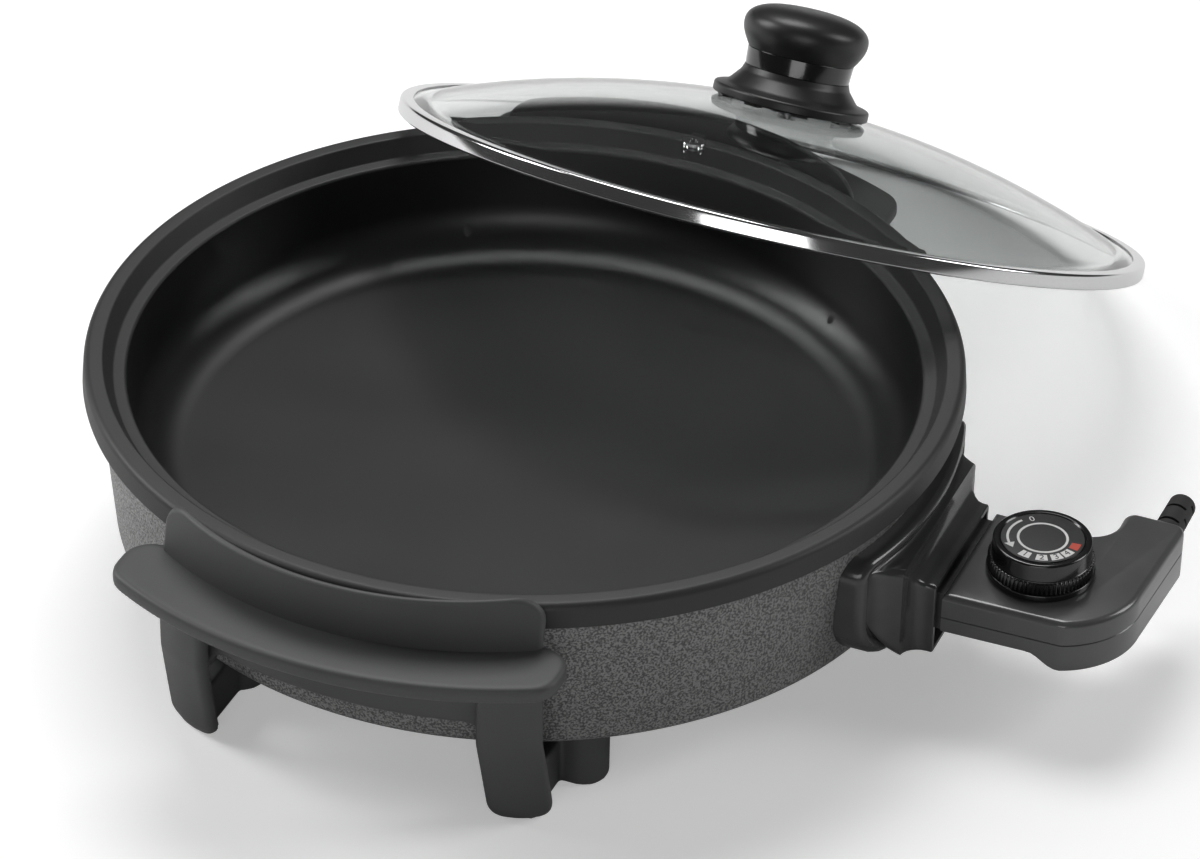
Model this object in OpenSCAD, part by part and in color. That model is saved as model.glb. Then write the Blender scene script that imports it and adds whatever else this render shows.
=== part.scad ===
// Electric party pan: a round cast pan with two handles on legs, a glass lid set down behind it,
// and a pull-out control plug with a temperature dial. Origin on the pan's axis at table level,
// +X towards the control plug, +Y towards the rear handle.

/* [Pan] */
// Outer radius of the pan's rim
pan_r = 210; // [200:1:220]
// Height of the rim above the table
rim_z = 120; // [116:0.5:124]
// Height of the cooking floor above the table
floor_z = 60; // [58:0.5:64]
// Thickness of the cooking floor
floor_t = 4; // [3:0.5:6]
// Radius of the curve between the cooking floor and the wall
floor_curve_r = 25; // [15:1:35]
// Inner radius of the ledge that carries the lid
ledge_r = 190; // [186:1:192]
// Depth of the ledge below the rim
ledge_drop = 9; // [7:0.5:11]
// Outer radius of the wall just under the rim
wall_top_r = 203.5; // [202:0.5:204]
// Outer radius that the wall tapers to at the height of its lower edge
wall_low_r = 197.2; // [196:0.2:199]
// Height of the wall's lower edge above the table
wall_low_z = 31.5; // [30:0.5:33]
// Radius of the curve at the wall's lower edge
wall_foot_r = 6; // [5:0.5:8]
// Thickness of the skirt that hides the heating element
skirt_t = 4; // [3:0.5:4.5]

/* [Heating] */
// Radius of the element's ring, to the middle of its tube
element_ring_r = 130; // [115:1:145]
// Diameter of the element's tube
element_d = 7.5; // [6.5:0.5:8.5]
// Distance from the middle to each contact pin
pin_y = 14; // [13:0.5:16]
// Diameter of a contact pin
pin_d = 6; // [5:0.5:6.5]
// Height of the pins and of the probe above the table
pin_z = 51.5; // [51:0.25:51.5]

/* [Handles] */
// Height of the handle's shelf above the table
shelf_z = 102; // [98:0.5:104]
// Thickness of the shelf
shelf_t = 8; // [6:0.5:10]
// Half the length of the shelf
shelf_half = 109.5; // [105:0.5:116]
// Radius of the shelf's outer arc
shelf_arc_r = 221; // [215:1:228]
// Distance of that arc's centre from the pan's axis
shelf_arc_y = 30; // [26:1:34]
// Height of the top of the heat guard above the table
guard_z = 127; // [120:0.5:128]
// Thickness of the heat guard
guard_t = 4; // [3:0.5:5]
// Outer radius of the apron and of the legs about the pan's axis
apron_r = 214; // [212:0.5:216]
// Height of the apron's lower edge above the table
apron_z = 56; // [50:1:64]
// Distance from the middle to a leg's inner side
leg_in = 68; // [66:0.5:70]
// Distance from the middle to a leg's outer side
leg_out = 95.5; // [94:0.5:97]
// Sideways distance from the middle to the screw in a mounting post
post_x = 95.5; // [94:0.5:98]
// Distance of the mounting posts from the pan's axis along Y
post_y = 148.5; // [146:0.5:149]
// Thickness of a mounting post
post_d = 24; // [20:0.5:24]
// Height of a mounting post
post_h = 42; // [38:0.5:44]

/* [Lid] */
// Outer radius of the lid's steel band
lid_r = 195.2; // [193:0.2:196]
// Height of the steel band
band_h = 8; // [7:0.5:9]
// Height of the top of the dome above the band's lower edge
dome_h = 44.5; // [42:0.5:45]
// Thickness of the glass
glass_t = 4; // [3.5:0.25:4.5]
// Where the middle of the leaning lid stands
lid_at = [36.2, 230.9, 86.6];
// How far the leaning lid tips from level
lid_lean = 26.4; // [26:0.1:27]
// How far the direction of the lean is turned from +Y
lid_turn = -4; // [-5:0.1:0]
// Radius at which the steam vent goes through the dome
vent_at_r = 122.5; // [110:0.5:150]
// Direction of the steam vent about the lid's axis
vent_at_a = 270.6; // [0:0.2:359]

/* [Knob] */
// Diameter of the skirt under the knob
knob_skirt_d = 81; // [76:1:86]
// Diameter of the glossy band around the knob
knob_band_d = 54.4; // [50:0.2:58]
// Greatest diameter of the knob's cap
knob_cap_d = 64.7; // [60:0.1:68]
// Height of the top of the knob above the band's lower edge
knob_top_h = 95; // [92:0.5:98]

/* [Control plug] */
// Half the width of the plug and of the collar that it enters
plug_half = 37.5; // [36:0.5:39]
// Distance from the pan's axis to the plug's flat front face
plug_x = 228; // [226:0.5:230]
// Height of the plug's underside above the table, under its tail
plug_low_z = 38.5; // [37.5:0.5:41]
// Height of the plug's underside above the table, beside the collar
plug_front_z = 45; // [44.5:0.5:45]
// Height of the plug's top above the table
plug_top_z = 66; // [65:0.5:67]
// Height of the joint between the two halves of the plug
plug_split_z = 53.5; // [52:0.5:55]
// Thickness of the plug's shells
plug_wall = 2.5; // [2:0.1:3]
// Distance from the pan's axis to the dial's axis
dial_x = 263; // [261:0.5:265]
// Diameter of the dial's ribbed ring
dial_ring_d = 51.2; // [49:0.1:53]
// Diameter of the dial above the ring
dial_top_d = 47; // [45:0.1:48]
// Height of the dial's top above the table
dial_top_z = 85; // [83:0.5:88]
// Diameter of the strain relief
relief_d = 14; // [12:0.1:15]
// Radius of the cord's passage through the strain relief
cord_hole_r = 3.6; // [3:0.1:4]
// Reach of the temperature probe under the pan, from the axis of the pan
probe_x = 150; // [145:1:165]

/* [Hidden] */
$fn = 96;
// Clearance between pieces on different bodies, and between a screw and its hole
gap = 0.3;
fit = 0.05;
floor_low_z = floor_z - floor_t;
wall_clear = 0.9;
ledge_z = rim_z - ledge_drop;
rim_edge_z = rim_z - 12.5;
steps = 8;

// Points along an arc about c, from angle a to angle b
function arc(c, r, a, b, n = steps) =
  [for (i = [0:n]) c + r * [cos(a + (b - a) * i / n), sin(a + (b - a) * i / n)]];
function tail(points) = [for (i = [1:len(points) - 1]) points[i]];
function but_last(points) = [for (i = [0:len(points) - 2]) points[i]];
function mirrored(points) = [for (i = [len(points) - 1:-1:0]) [-points[i].x, points[i].y]];
function unit(v) = v / norm(v);
function left(v) = [-v.y, v.x];
// A closed outline moved inwards by d along its own normals
function inset(points, d) = let (n = len(points)) [
  for (i = [0:n - 1])
    let (a = left(unit(points[i] - points[(i + n - 1) % n])), b = left(unit(points[(i + 1) % n] - points[i])))
    points[i] + d * (a + b) / (1 + a * b)
];

// A closed solid through equal outlines, each given with its height. An outline has an even number
// of points, and its ends are closed by a strip of quads from its first and last points inwards.
module loft(rings) {
  n = len(rings[0][0]);
  last = len(rings) - 1;
  points = [for (ring = rings) for (p = ring[0]) [p.x, p.y, ring[1]]];
  sides = [for (k = [0:last - 1]) for (i = [0:n - 1]) for (half = [0, 1])
    let (j = (i + 1) % n, low = k * n, high = low + n)
    half == 0 ? [low + i, high + i, high + j] : [low + i, high + j, low + j]];
  low = [for (i = [0:n / 2 - 2]) [i, i + 1, n - 2 - i, n - 1 - i]];
  high = [for (quad = low) [for (k = [3:-1:0]) last * n + quad[k]]];
  polyhedron(points, concat(low, sides, high), 4);
}

// A slab of a given outline whose upper and lower edges are rounded
module soft_slab(outline, low, high, low_r, high_r, n = 3) {
  loft(concat(
    [for (i = [0:n]) let (a = 90 * i / n) [inset(outline, low_r * (1 - sin(a))), low + low_r * (1 - cos(a))]],
    [for (i = [0:n]) let (a = 90 * i / n) [inset(outline, high_r * (1 - cos(a))), high - high_r * (1 - sin(a))]]
  ));
}

module at_lid() {
  translate(lid_at) rotate([0, 0, lid_turn]) rotate([-lid_lean, 0, 0]) children();
}

// Along +X at the height of the pins
module along_x(x, y = 0) {
  translate([x, y, pin_z]) rotate([0, 90, 0]) children();
}

module at_posts() {
  for (sx = [-1, 1]) for (sy = [-1, 1]) translate([sx * post_x, sy * post_y, 0]) children();
}

// The pan

// Outer radius of the tapered wall at height z
function wall_r(z) =
  wall_low_r + (wall_top_r - wall_low_r) * (z - wall_low_z) / (rim_edge_z - wall_low_z);

// The space that the wall fills, grown a little, for what is fitted around it
module wall_cone() {
  cylinder(r1 = wall_r(0) + fit, r2 = wall_r(rim_z) + fit, h = rim_z, $fn = 240);
}

boss_low_z = post_h;
boss_d = 22;
screw_r = 2.5;
socket_screw_x = 181;
socket_screw_y = 25;
window_half = 31;
window_low_z = 37;

inner_low_r = ledge_r - 3;
floor_curve_at = [inner_low_r - floor_curve_r, floor_z + floor_curve_r];
// Top of the space between the bowl's wall and the skirt
skirt_space_z = 97;

// The casting with its bowl still filled
module pan_profile() {
  foot = wall_foot_r;
  foot_at = [wall_r(wall_low_z + foot) - foot, wall_low_z + foot];
  space_r = wall_r(skirt_space_z) - skirt_t;
  polygon(concat(
    [[0, floor_low_z]],
    arc(floor_curve_at, floor_curve_r + floor_t, -90, 0, 16),
    [[inner_low_r + floor_t + 0.8, skirt_space_z]],
    arc([space_r - 2, skirt_space_z - 2], 2, 90, 0, 3),
    arc(foot_at, foot - skirt_t, 0, -90, 3),
    [[foot_at.x - 2, wall_low_z + skirt_t], [foot_at.x - 2, wall_low_z]],
    arc(foot_at, foot, -90, 0),
    [[wall_r(rim_edge_z - 4), rim_edge_z - 4]],
    arc([wall_top_r + 3.5, rim_edge_z - 3], 3, 180, 90, 4),
    arc([pan_r, rim_edge_z + 1], 1, -90, 0, 4),
    arc([pan_r - 3.5, rim_z - 3.5], 3.5, 0, 90),
    [[pan_r - 9, rim_z], [0, rim_z]]
  ));
}

module bowl_profile() {
  polygon(concat(
    [[0, floor_z]],
    arc(floor_curve_at, floor_curve_r, -90, 0, 16),
    arc([ledge_r + 1.5, ledge_z - 1.5], 1.5, 180, 90, 4),
    arc([ledge_r + 6, ledge_z + 1], 1, -90, -30, 3),
    arc([pan_r - 9, rim_z - 1], 1, 150, 90, 3),
    [[pan_r - 9, rim_z + 1], [0, rim_z + 1]]
  ));
}

module pan_bowl() {
  groove_r = element_d / 2 + fit;
  color([0.45, 0.45, 0.44]) difference() {
    union() {
      rotate_extrude($fn = 240) pan_profile();
      // Rib that holds the element against the floor
      translate([0, 0, pin_z]) difference() {
        cylinder(r = element_ring_r + groove_r + 2.5, h = floor_low_z - pin_z + 1);
        translate([0, 0, -1]) cylinder(r = element_ring_r - groove_r - 2.5, h = floor_low_z);
      }
      // Bosses that run up into the curved wall
      at_posts() translate([0, 0, boss_low_z]) cylinder(d = boss_d, h = 34);
      for (s = [-1, 1]) translate([socket_screw_x, s * socket_screw_y, floor_low_z - 7]) cylinder(d = 9, h = 22);
    }
    rotate_extrude($fn = 240) bowl_profile();
    translate([0, 0, pin_z]) rotate_extrude() translate([element_ring_r, 0]) circle(groove_r);
    at_posts() translate([0, 0, boss_low_z - 1]) cylinder(r = screw_r + fit, h = floor_low_z - boss_low_z - 1);
    for (s = [-1, 1]) translate([socket_screw_x, s * socket_screw_y, 0]) cylinder(r = 2 + fit, h = floor_z - 2);
    // The rib is open where the element's ends leave the ring
    translate([element_ring_r - 12, -42, 0]) cube([24, 84, floor_low_z]);
    // Window in the skirt for the socket
    translate([wall_low_r - 12, -window_half, window_low_z]) cube([24, 2 * window_half, floor_low_z - window_low_z]);
  }
}

// The heating element and the socket

bend_r = 20;
lead_a = asin((pin_y + bend_r) / (element_ring_r + bend_r));
lead_x = (element_ring_r + bend_r) * cos(lead_a);
insulator_x = 186;

// Middle line of the element's tube, from one contact pin round the ring to the other
function element_path(end_x) =
  let (
    turn_at = [lead_x, pin_y + bend_r],
    half = concat([[end_x, pin_y]], arc(turn_at, bend_r, 270, 180 + lead_a, 5))
  )
  concat(
    half,
    [for (i = [1:71]) let (a = lead_a + (360 - 2 * lead_a) * i / 72) element_ring_r * [cos(a), sin(a)]],
    [for (i = [len(half) - 1:-1:0]) [half[i].x, -half[i].y]]
  );

// A round tube along a level path
module level_tube(path, r, z, sides = 12) {
  last = len(path) - 1;
  points = [for (i = [0:last])
    let (side = left(unit(path[min(i + 1, last)] - path[max(i - 1, 0)])))
    for (k = [0:sides - 1]) let (a = 360 * k / sides, p = path[i] + r * cos(a) * side) [p.x, p.y, z + r * sin(a)]];
  walls = [for (i = [0:last - 1]) for (k = [0:sides - 1])
    let (m = (k + 1) % sides) [i * sides + k, i * sides + m, (i + 1) * sides + m, (i + 1) * sides + k]];
  polyhedron(points, concat([[for (k = [sides - 1:-1:0]) k]], walls, [[for (k = [0:sides - 1]) last * sides + k]]), 4);
}

module heating_element() {
  color([0.3, 0.29, 0.28]) level_tube(element_path(insulator_x + 2), element_d / 2, pin_z);
}

pin_end_x = 222;

module contact_pins() {
  color([0.78, 0.78, 0.8]) for (s = [-1, 1]) along_x(insulator_x + 2.05, s * pin_y) {
    cylinder(d = pin_d, h = pin_end_x - 2 - insulator_x - 2.05);
    translate([0, 0, pin_end_x - 2 - insulator_x - 2.05]) cylinder(d1 = pin_d, d2 = pin_d - 2.4, h = 2);
  }
}

insulator_d = 8.6;
insulator_len = 12;

module pin_insulators() {
  color([0.9, 0.88, 0.82]) for (s = [-1, 1]) difference() {
    along_x(insulator_x + 2.1, s * pin_y) cylinder(d = insulator_d, h = insulator_len);
    along_x(insulator_x, s * pin_y) cylinder(r = pin_d / 2 + fit, h = insulator_len + 4);
  }
}

sleeve_d = 8.8;
sleeve_hole_r = 3.1;

module probe_sleeve() {
  color([0.7, 0.66, 0.5]) difference() {
    along_x(probe_x - 6) cylinder(d = sleeve_d, h = insulator_x + 20 - probe_x);
    along_x(probe_x - 3) cylinder(r = sleeve_hole_r, h = 80);
  }
}

collar_x = 224.5;
collar_low_z = 31;
collar_top_z = 69.5;
collar_wall = 3;
collar_back_x = 208.5;
flange_r = 212;
flange_half = 71;
flange_top_z = 94;
flange_low_z = 34.5;

// The flange as seen along X, as points (y, z)
module flange_outline(d = 0) {
  low_r = 28;
  top_r = 10;
  half = concat(
    arc([flange_half - low_r, flange_low_z + low_r], low_r - d, -90, 0, 12),
    arc([flange_half - top_r, flange_top_z - top_r], top_r - d, 0, 90)
  );
  polygon(concat(half, mirrored(half)));
}

// The collar's outline, as points (y, z), grown by d
function collar_outline(d) =
  let (
    r = 6 + d,
    y = plug_half - 6,
    top = collar_top_z - 6,
    low = collar_low_z + 6,
    half = concat(arc([y, low], r, -90, 0), arc([y, top], r, 0, 90))
  ) concat(half, mirrored(half));

// A shape drawn as (y, z) points, standing along X
module facing_x(x) {
  translate([x, 0, 0]) rotate([90, 0, 90]) children();
}

module socket_housing() {
  flare_r = 15;
  flare_n = 5;
  color([0.09, 0.09, 0.1]) difference() {
    union() {
      intersection() {
        facing_x(180) linear_extrude(40) flange_outline();
        difference() {
          cylinder(r = flange_r - 2.5, h = rim_z - 5);
          wall_cone();
        }
      }
      intersection() {
        facing_x(180) linear_extrude(40) flange_outline(2.5);
        difference() {
          cylinder(r = flange_r, h = rim_z - 5);
          wall_cone();
        }
      }
      // Flare from the flange to the collar, flat underneath
      difference() {
        facing_x(0) loft([for (i = [0:flare_n]) let (a = 90 * i / flare_n)
          [collar_outline(flare_r * (1 - sin(a))), flange_r - 12 + flare_r * (1 - cos(a))]]);
        wall_cone();
        cylinder(r = rim_z * 3, h = collar_low_z);
      }
      facing_x(flange_r) linear_extrude(collar_x - flange_r) polygon(collar_outline(0));
      // Terminal block behind the wall
      translate([socket_screw_x + 6, -window_half + 0.5, window_low_z + 0.5])
        cube([206 - socket_screw_x - 6, 2 * window_half - 1, floor_low_z - window_low_z - 0.6]);
      translate([socket_screw_x - 6, -window_half + 0.5, window_low_z + 0.5])
        cube([14, 2 * window_half - 1, 6]);
    }
    // Inside of the collar
    facing_x(collar_back_x) linear_extrude(20) polygon(collar_outline(-collar_wall));
    for (s = [-1, 1]) {
      along_x(150, s * pin_y) cylinder(r = insulator_d / 2 + fit, h = 100);
      translate([socket_screw_x, s * socket_screw_y, 0]) cylinder(r = 2.2, h = rim_z);
    }
    along_x(140) cylinder(r = sleeve_d / 2 + fit, h = 100);
  }
}

module earth_spring() {
  // A bent strip fixed to the back of the collar, above the probe
  y_half = 4;
  color([0.8, 0.7, 0.35]) union() {
    translate([collar_back_x + 0.05, -y_half, pin_z + 8]) cube([1, 2 * y_half, 6]);
    translate([collar_back_x + 0.05, -y_half, pin_z + 13]) cube([11, 2 * y_half, 1]);
  }
}

module socket_screws() {
  color([0.75, 0.75, 0.76]) for (s = [-1, 1]) translate([socket_screw_x, s * socket_screw_y, window_low_z - 2])
    union() {
      cylinder(r = 3.6, h = 2.45);
      cylinder(r = 2, h = floor_low_z - window_low_z);
    }
}

// The handles, drawn for the front handle

shelf_low_z = shelf_z - shelf_t;
shelf_in_y = 193;
shelf_corner_r = 14;
handle_in_r = wall_r(shelf_low_z) + wall_clear;

function shelf_outline() =
  let (
    x = shelf_half - shelf_corner_r,
    out_y = -shelf_arc_y - sqrt(pow(shelf_arc_r - shelf_corner_r, 2) - x * x),
    turn = atan2(out_y + shelf_arc_y, x),
    in_y = -shelf_in_y - shelf_corner_r,
    in_a = asin(shelf_in_y / handle_in_r),
    outer = concat(arc([0, -shelf_arc_y], shelf_arc_r, -90, turn, 18), tail(arc([x, out_y], shelf_corner_r, turn, 0))),
    inner = concat(arc([x, in_y], shelf_corner_r, 0, 90), arc([0, 0], handle_in_r, -in_a, -90, 17))
  )
  concat(inner, tail(mirrored(inner)), but_last(mirrored(outer)), outer);

// The apron between the legs as seen along Y, as points (x, z)
module apron_outline() {
  fillet = 12;
  reach = leg_in + 8;
  half = concat(
    [[leg_in - fillet, apron_z]],
    arc([leg_in - fillet, apron_z - fillet], fillet, 90, 0),
    [[reach, apron_z - fillet], [reach, shelf_low_z + 1]]
  );
  polygon(concat(half, mirrored(half)));
}

leg_t = 6.5;
leg_crown = 1.2;
leg_turn = 25;
leg_top_at = [(leg_in + leg_out) / 2, -203.5];
// A leg leans in towards a round foot, below the height where its lean ends
foot_at = [83, -191];
lean_top_z = 50;
foot_r = 10;

// A leg's outline at height z, turned to follow the shelf: a crowned front, rounded corners and a flat back
function leg_outline(z) =
  let (
    draw_in = 0.8 * (foot_r - sqrt(pow(foot_r, 2) - pow(max(0, foot_r - z), 2))),
    high = (leg_out - leg_in) / 2 / cos(leg_turn) - draw_in,
    front = -leg_t / 2 + draw_in * 0.3,
    r = 3,
    run = 2 * high - 2 * r,
    at = leg_top_at + (foot_at - leg_top_at) * (1 - min(1, z / lean_top_z)),
    flat = concat(
      [[high, leg_t / 2], [-high, leg_t / 2]],
      arc([r - high, front + r], r, 180, 250, 4),
      [for (i = [1:6]) [r - high + run * i / 7, front - leg_crown * sin(180 * i / 7)]],
      arc([high - r, front + r], r, 290, 360, 4)
    )
  )
  [for (p = flat) at + [p.x * cos(leg_turn) - p.y * sin(leg_turn), p.x * sin(leg_turn) + p.y * cos(leg_turn)]];

// One leg's column
module leg() {
  loft([for (z = [0.3, 0.8, 1.6, 3.4, 6, 10, lean_top_z, shelf_low_z + 1]) [leg_outline(z), z]]);
}

post_in_x = 80;
shoe_in = 75.5;
shoe_out = 89;
shoe_h = 24.5;
shoe_front_y = 192;
guard_screw_x = [-50, 0, 50];

module handle() {
  difference() {
    union() {
      soft_slab(shelf_outline(), shelf_low_z, shelf_z, 1.5, 2.5);
      intersection() {
        difference() {
          cylinder(r = apron_r, h = shelf_z, $fn = 180);
          translate([0, 0, -1]) cylinder(r = handle_in_r, h = shelf_z + 2, $fn = 180);
        }
        translate([0, -post_y, 0]) rotate([90, 0, 0]) linear_extrude(pan_r) apron_outline();
      }
      for (s = [0, 1]) mirror([s, 0, 0]) {
        leg();
        // Mounting post, drawn out towards the middle, and the bar that joins it to the leg
        linear_extrude(post_h) polygon(concat(
          arc([post_x, -post_y], post_d / 2, -90, 90, 14),
          arc([post_in_x, -post_y], post_d / 2, 90, 270, 14)
        ));
        translate([shoe_in, -shoe_front_y, 0]) cube([shoe_out - shoe_in, shoe_front_y - post_y, shoe_h]);
      }
    }
    for (s = [-1, 1]) translate([s * post_x, -post_y, -1]) {
      cylinder(r = screw_r + 0.3, h = post_h + 2);
      cylinder(r = 6, h = 13);
    }
    // Holes for the guard's screws, with room for their heads
    for (x = guard_screw_x) guard_boss_at(x) translate([0, 0, shelf_low_z - 1]) {
      cylinder(r = 2, h = shelf_t + 2);
      translate([0, 0, -9]) cylinder(r = 3.8, h = 10.3);
    }
  }
}

guard_half = 94;
guard_corner_r = 14;
guard_boss_d = 8;
guard_boss_h = 12;
// The guard's middle surface is a wide arc at its foot and draws in to a tighter one at its top
guard_low_y = 45;
guard_low_r = 177.4;
guard_top_y = 73.5;
guard_top_r = 148.4;
function guard_up(z) = (z - shelf_z) / (guard_z - shelf_z);
function guard_at_y(x, z, out = 0) =
  let (
    c = guard_low_y + (guard_top_y - guard_low_y) * guard_up(z),
    r = guard_low_r + (guard_top_r - guard_low_r) * guard_up(z) + out
  )
  -c - sqrt(r * r - x * x);

// The guard's outline at height z, d thick to each side, within its round upper corners
function guard_outline(z, d) =
  let (
    n = 22,
    rise = max(0, z - guard_z + guard_corner_r),
    half = guard_half - guard_corner_r + sqrt(pow(guard_corner_r, 2) - rise * rise)
  )
  concat(
    [for (i = [-n:n]) [half * i / n, guard_at_y(half * i / n, z, d)]],
    [for (i = [n:-1:-n]) [half * i / n, guard_at_y(half * i / n, z, -d)]]
  );

module guard_boss_at(x) {
  translate([x, guard_at_y(x, shelf_z, -3.8), 0]) children();
}

module heat_guard() {
  tip = guard_t / 2;
  levels = concat(
    [[shelf_z, tip], [108, tip], [guard_z - guard_corner_r, tip], [117, tip], [121, tip], [guard_z - tip, tip]],
    [for (a = [35, 65, 85]) [guard_z - tip * (1 - sin(a)), tip * cos(a)]]
  );
  difference() {
    union() {
      loft([for (level = levels) [guard_outline(level[0], level[1]), level[0]]]);
      for (x = guard_screw_x) guard_boss_at(x) translate([0, 0, shelf_z]) cylinder(d = guard_boss_d, h = guard_boss_h);
    }
    for (x = guard_screw_x) guard_boss_at(x) translate([0, 0, shelf_z - 1]) cylinder(r = 1.75 + fit, h = guard_boss_h - 2);
  }
}

module to_rear() {
  rotate([0, 0, 180]) children();
}

module front_handle() { color([0.22, 0.22, 0.22]) handle(); }
module rear_handle() { color([0.22, 0.22, 0.22]) to_rear() handle(); }
module front_heat_guard() { color([0.25, 0.25, 0.25]) heat_guard(); }
module rear_heat_guard() { color([0.25, 0.25, 0.25]) to_rear() heat_guard(); }

module handle_screws() {
  color([0.7, 0.7, 0.71]) at_posts() difference() {
    union() {
      translate([0, 0, 7.8]) cylinder(r = 5, h = 4.2);
      translate([0, 0, 12]) cylinder(r = screw_r, h = floor_low_z - 14);
    }
    translate([-4, -0.6, 7]) cube([8, 1.2, 2]);
  }
}

module guard_screws() {
  color([0.7, 0.7, 0.71]) for (turn = [0, 180]) rotate([0, 0, turn]) for (x = guard_screw_x) guard_boss_at(x)
    translate([0, 0, shelf_low_z - 2.5]) union() {
      cylinder(r = 3.4, h = 2.75);
      cylinder(r = 1.75, h = shelf_t + 10);
    }
}

// The lid, drawn level about its own axis

glass_r = lid_r - 1;
glass_low = 3;
dome_r = 187.5;
vent_r = 4;

// Radius of a spherical cap of a given edge radius and rise
function cap_r(r, rise) = (r * r + rise * rise) / (2 * rise);
// Half a spherical cap from its edge up to its top
function dome(r, low, top, n = 20) =
  let (ball = cap_r(r, top - low), reach = asin(r / ball))
  [for (i = [0:n]) let (a = reach * (1 - i / n)) [ball * sin(a), top - ball * (1 - cos(a))]];

// Stands children square on the dome at the steam vent
module at_vent() {
  ball = cap_r(dome_r, dome_h - glass_low - glass_t);
  slope = asin(vent_at_r / ball);
  rotate([0, 0, vent_at_a]) translate([0, 0, dome_h - ball]) rotate([0, slope, 0]) translate([0, 0, ball]) children();
}

module lid_glass() {
  low = glass_low + glass_t;
  color([0.75, 0.82, 0.8, 0.35]) at_lid() difference() {
    rotate_extrude($fn = 240) polygon(concat(
      [[dome_r - glass_t, glass_low], [glass_r, glass_low], [glass_r, low]],
      dome(dome_r, low, dome_h),
      [for (i = [20:-1:1]) dome(dome_r - glass_t, glass_low, dome_h - glass_t)[i]]
    ));
    translate([0, 0, dome_h - 10]) cylinder(r = 5.5, h = 20);
    at_vent() translate([0, 0, -10]) cylinder(r = vent_r, h = 20);
  }
}

module lid_band() {
  t = 0.8;
  edge_r = 2;
  lip_r = dome_r + 1;
  outer = concat([[lid_r - edge_r, 0]], arc([lid_r - 1, 1], 1, -90, 0, 4), arc([lid_r - edge_r, band_h - edge_r], edge_r, 0, 90, 6));
  color([0.8, 0.8, 0.81]) at_lid() rotate_extrude($fn = 240) polygon(concat(
    [[lip_r - 3, 0]],
    outer,
    [[lip_r, band_h], [lip_r, glass_low + glass_t + 0.1], [glass_r + 0.1, glass_low + glass_t + 0.1]],
    [[glass_r + 0.1, t], [lip_r - 2.2, t], [lip_r - 2.2, glass_low - 0.1], [lip_r - 3, glass_low - 0.1]]
  ));
}

module steam_vent() {
  color([0.75, 0.75, 0.76]) at_lid() at_vent() difference() {
    union() {
      translate([0, 0, 0.2]) cylinder(r = 6, h = 1);
      translate([0, 0, -glass_t - 1.6]) cylinder(r = vent_r - fit, h = glass_t + 2);
      translate([0, 0, -glass_t - 1.6]) cylinder(r = 5.5, h = 0.8);
    }
    translate([0, 0, -10]) cylinder(r = 2.6, h = 20);
  }
}

// The knob

skirt_low_h = 45;
skirt_top_h = 50;
skirt_space_h = 47.6;
band_low_h = 61.6;
band_top_h = 71;
hub_r = 11;

module knob_skirt() {
  out = knob_skirt_d / 2;
  in = knob_band_d / 2;
  flare = out - in;
  color([0.1, 0.1, 0.1]) at_lid() difference() {
    union() {
      rotate_extrude($fn = 180) polygon(concat(
        [[0, skirt_space_h], [out - 3.5, skirt_space_h], [out - 3.5, skirt_low_h]],
        arc([out - 1, skirt_low_h + 1], 1, -90, 0, 3),
        arc([out - 1.5, skirt_top_h - 1.5], 1.5, 0, 90, 4),
        arc([out - 1.5, band_low_h - 0.5], flare - 1.5, -90, -165, 10),
        [[in, band_low_h], [0, band_low_h]]
      ));
      translate([0, 0, dome_h + 1.5]) cylinder(r = hub_r, h = skirt_space_h - dome_h);
      // Spacer tabs that stop short of the glass
      for (a = [20:40:379]) rotate([0, 0, a]) translate([33, -4, dome_h - 0.8]) cube([5, 8, skirt_space_h - dome_h + 1.8]);
    }
    translate([0, 0, dome_h]) cylinder(r = 3.2, h = 40);
  }
}

module knob_band() {
  in = knob_band_d / 2;
  color([0.05, 0.05, 0.05]) at_lid() difference() {
    rotate_extrude($fn = 180) polygon([
      [0, band_low_h + 0.05], [in - 0.3, band_low_h + 0.05], [in, band_low_h + 0.5],
      [in + 0.4, band_top_h - 0.5], [in + 0.1, band_top_h - 0.05], [0, band_top_h - 0.05]
    ]);
    translate([0, 0, band_low_h - 1]) cylinder(r = 3.2, h = 20);
  }
}

module knob_cap() {
  out = knob_cap_d / 2;
  wide_h = 83;
  low_r = knob_band_d / 2 + 0.2;
  crown_h = knob_top_h - wide_h;
  screw_top_h = 84;
  color([0.1, 0.1, 0.1]) at_lid() difference() {
    rotate_extrude($fn = 180) polygon(concat(
      [[0, band_top_h], [low_r, band_top_h]],
      [for (i = [1:10]) let (t = i / 10) [low_r + (out - low_r) * sin(90 * t), band_top_h + (wide_h - band_top_h) * t]],
      [for (i = [1:14]) let (a = 90 * i / 14) [out * pow(cos(a), 0.7), wide_h + crown_h * pow(sin(a), 0.85)]]
    ));
    translate([0, 0, band_top_h - 1]) cylinder(r = screw_r + fit, h = screw_top_h - band_top_h);
  }
}

module knob_gasket() {
  color([0.15, 0.15, 0.15]) at_lid() difference() {
    union() {
      translate([0, 0, dome_h + 0.1]) cylinder(r = hub_r, h = 1.35);
      translate([0, 0, dome_h - glass_t - 0.2]) cylinder(r = 5.4, h = glass_t + 0.4);
    }
    translate([0, 0, dome_h - 10]) cylinder(r = 3.2, h = 20);
  }
}

module knob_washer() {
  color([0.75, 0.75, 0.76]) at_lid() difference() {
    translate([0, 0, dome_h - glass_t - 2]) cylinder(r = 12, h = 1.5);
    translate([0, 0, dome_h - 10]) cylinder(r = 3.2, h = 20);
  }
}

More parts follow.
